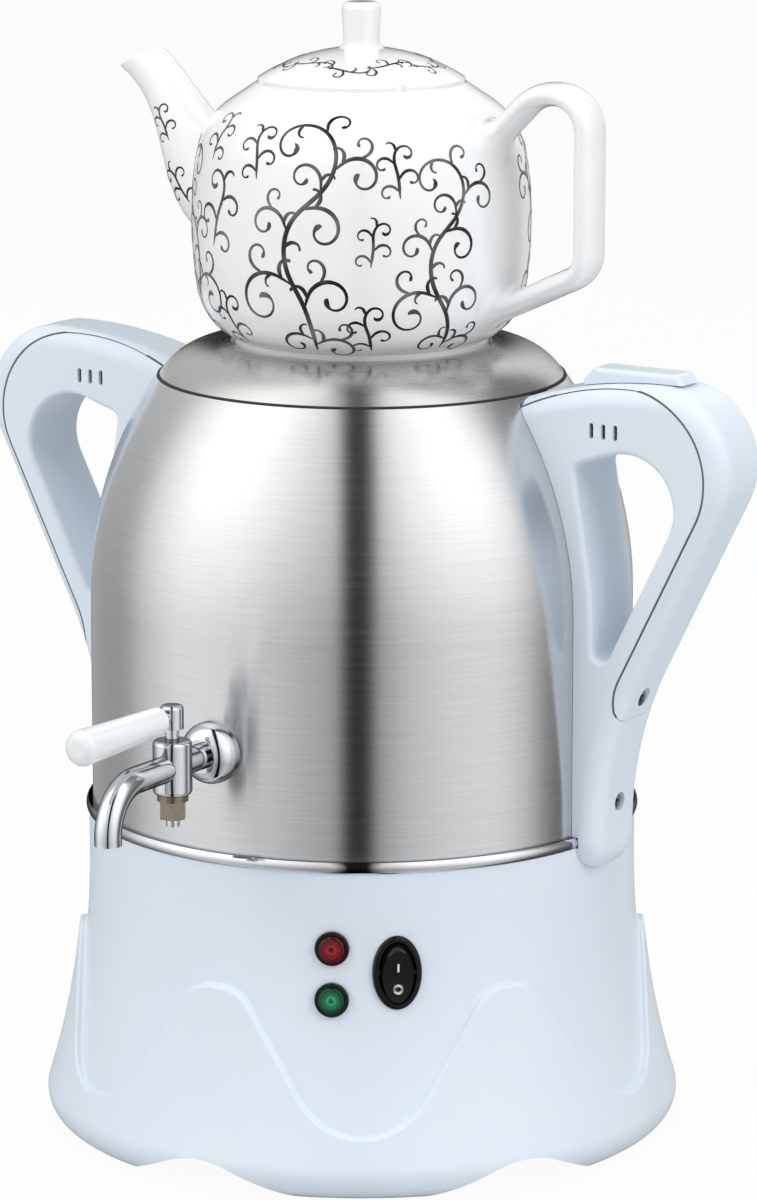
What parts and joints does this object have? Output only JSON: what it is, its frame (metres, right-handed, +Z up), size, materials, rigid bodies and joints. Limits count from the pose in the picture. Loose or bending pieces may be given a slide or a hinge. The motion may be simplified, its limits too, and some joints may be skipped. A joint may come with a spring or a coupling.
{
  "type": "electric tea maker",
  "caption": "Electric samovar: a brushed steel vessel on a flared white base, with a plug tap, loop handles, a latched gallery lid and a ceramic teapot on top.",
  "frame": {"origin": "on the vessel's axis, on the surface that the rubber feet stand on", "axes": "+Z up along the vessel's axis; the tap points along -Y and the handles lie along X"},
  "size_m": [0.3414, 0.3246, 0.4484],
  "materials": {
    "white_plastic": "satin moulded",
    "white_gloss": "polished",
    "dark_plastic": "moulded",
    "black_plastic": "polished",
    "red_lens": "clear tinted",
    "green_lens": "clear tinted",
    "rubber": "matt",
    "zinc": "zinc plated",
    "chrome": "polished",
    "steel": "brushed round the axis",
    "lid_steel": "brushed round the axis",
    "aluminium": "cast",
    "sheath": "oxidised sheath",
    "block_ceramic": "unglazed ceramic",
    "wire_skin": "braided sleeve",
    "glaze": "glazed ceramic"
  },
  "bodies": {
    "samovar": {"base_housing": "white_plastic", "base_plate": "white_plastic", "rubber_feet": "rubber", "base_screws": "zinc", "trim_ring": "chrome", "vessel_shell": "steel", "vessel_floor": "steel", "heat_spreader": "aluminium", "heating_element": "sheath", "boil_thermostat": "dark_plastic", "warm_thermostat": "dark_plastic", "thermal_fuse": "zinc", "mounting_studs": "zinc", "stud_nuts": "zinc", "terminal_block": "block_ceramic", "wiring": "wire_skin", "power_inlet": "dark_plastic", "inlet_pins": "zinc", "red_lamp_bezel": "dark_plastic", "red_lamp_lens": "red_lens", "green_lamp_bezel": "dark_plastic", "green_lamp_lens": "green_lens", "switch_frame": "black_plastic", "switch_tabs": "zinc", "tap_rosette": "chrome", "tap_body": "chrome", "tap_back_nut": "zinc", "tap_seal": "rubber", "right_handle_body": "white_plastic", "right_handle_cap": "white_plastic", "left_handle_body": "white_plastic", "left_handle_cap": "white_plastic", "handle_screws": "zinc", "handle_brackets": "steel"},
    "tap_key": {"tap_plug": "chrome", "tap_lever": "chrome", "tap_grip": "white_gloss", "tap_washer": "chrome", "tap_nut": "chrome"},
    "rocker": {"switch_rocker": "black_plastic"},
    "latch": {"lid_latch": "white_plastic"},
    "vessel_lid": {"lid_dome": "lid_steel", "lid_collar": "steel", "lid_seal": "rubber"},
    "pot": {"teapot": "glaze"},
    "pot_lid": {"teapot_lid": "glaze"}
  },
  "joints": [
    {"name": "tap_turn", "type": "hinge", "parent": "samovar", "child": "tap_key", "pos_m": [0, -0.135, 0.171], "axis": [0, 0, 1], "range_deg": [-90, 90]},
    {"name": "switch_tilt", "type": "hinge", "parent": "samovar", "child": "rocker", "pos_m": [0.06886, -0.08504, 0.08847], "axis": [-0.7771, -0.6293, 0], "range_deg": [0, 18]},
    {"name": "latch_slide", "type": "slide", "parent": "samovar", "child": "latch", "axis": [-1, 0, 0], "range_m": [0, 0.005]},
    {"name": "lid_lift", "type": "slide", "parent": "samovar", "child": "vessel_lid", "axis": [0, 0, 1], "range_m": [0, 0.06]},
    {"name": "pot_lift", "type": "slide", "parent": "vessel_lid", "child": "pot", "axis": [0, 0, 1], "range_m": [0, 0.12]},
    {"name": "pot_lid_lift", "type": "slide", "parent": "pot", "child": "pot_lid", "axis": [0, 0, 1], "range_m": [0, 0.05]}
  ]
}
